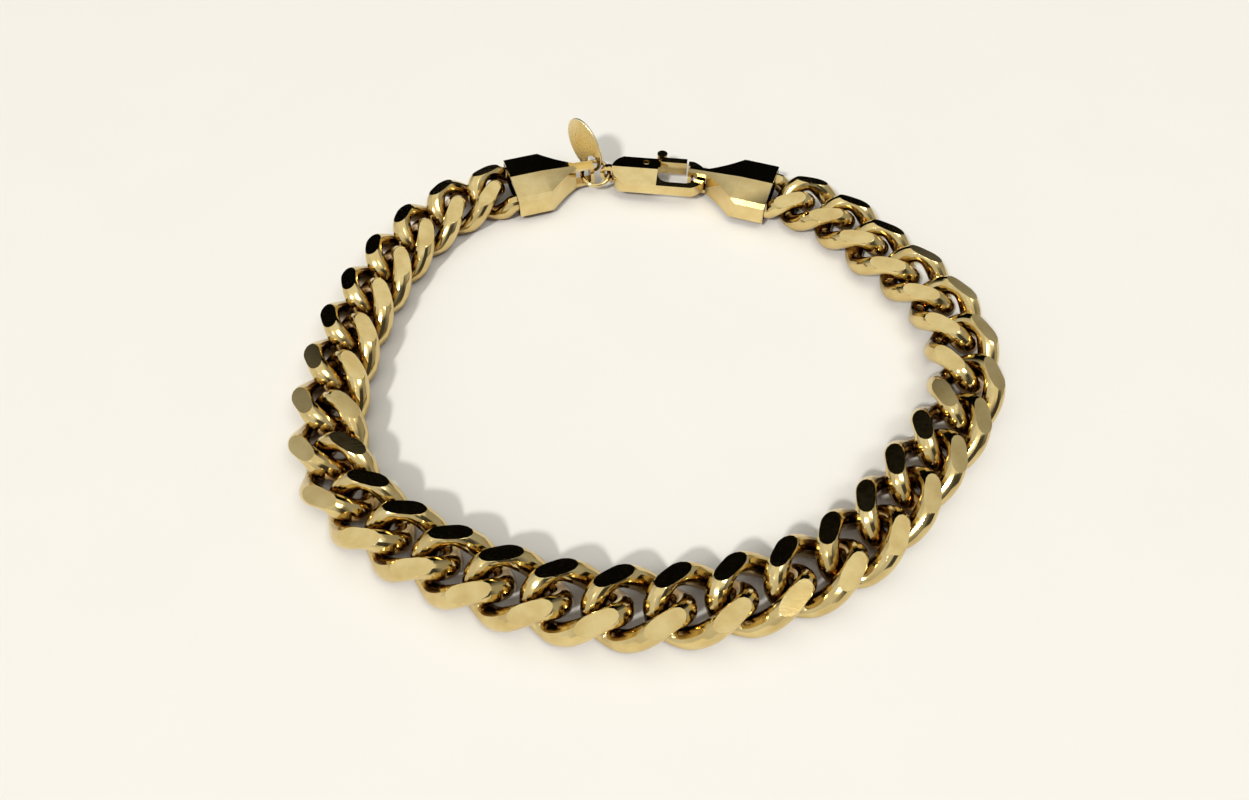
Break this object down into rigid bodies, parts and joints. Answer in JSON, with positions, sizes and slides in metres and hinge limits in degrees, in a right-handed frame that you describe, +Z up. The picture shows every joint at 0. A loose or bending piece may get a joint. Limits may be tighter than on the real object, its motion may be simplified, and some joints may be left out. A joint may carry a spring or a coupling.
{
  "type": "curb link bracelet",
  "caption": "Curb (cuban) link bracelet in gold-plated brass, closed in a wide oval, with two box caps, a lobster clasp, a jump ring and an oval tag.",
  "frame": {"origin": "centre of the bracelet's footprint, on the surface that it lies on", "axes": "+Z up from the surface, +Y towards the clasp side, +X to the right with the clasp at the far side"},
  "size_m": [0.08, 0.0726, 0.0084],
  "materials": {
    "chain_gold": "polished",
    "fitting_gold": "polished"
  },
  "bodies": {
    "bracelet": {"link_01": "chain_gold", "link_02": "chain_gold", "link_03": "chain_gold", "link_04": "chain_gold", "link_05": "chain_gold", "link_06": "chain_gold", "link_07": "chain_gold", "link_08": "chain_gold", "link_09": "chain_gold", "link_10": "chain_gold", "link_11": "chain_gold", "link_12": "chain_gold", "link_13": "chain_gold", "link_14": "chain_gold", "link_15": "chain_gold", "link_16": "chain_gold", "link_17": "chain_gold", "link_18": "chain_gold", "link_19": "chain_gold", "link_20": "chain_gold", "link_21": "chain_gold", "link_22": "chain_gold", "link_23": "chain_gold", "link_24": "chain_gold", "link_25": "chain_gold", "link_26": "chain_gold", "link_27": "chain_gold", "link_28": "chain_gold", "link_29": "chain_gold", "link_30": "chain_gold", "link_31": "chain_gold", "left_cap": "fitting_gold", "right_cap": "fitting_gold", "clasp_body": "fitting_gold", "lever_pin": "fitting_gold", "jump_ring": "fitting_gold", "tag": "fitting_gold"},
    "lever": {"clasp_lever": "fitting_gold"}
  },
  "joints": [
    {"name": "lever_hinge", "type": "hinge", "parent": "bracelet", "child": "lever", "pos_m": [-0.00017, 0.03246, 0.00237], "axis": [0, 0, -1], "range_deg": [0, 20], "stiffness_Nm_per_rad": 0.001}
  ]
}
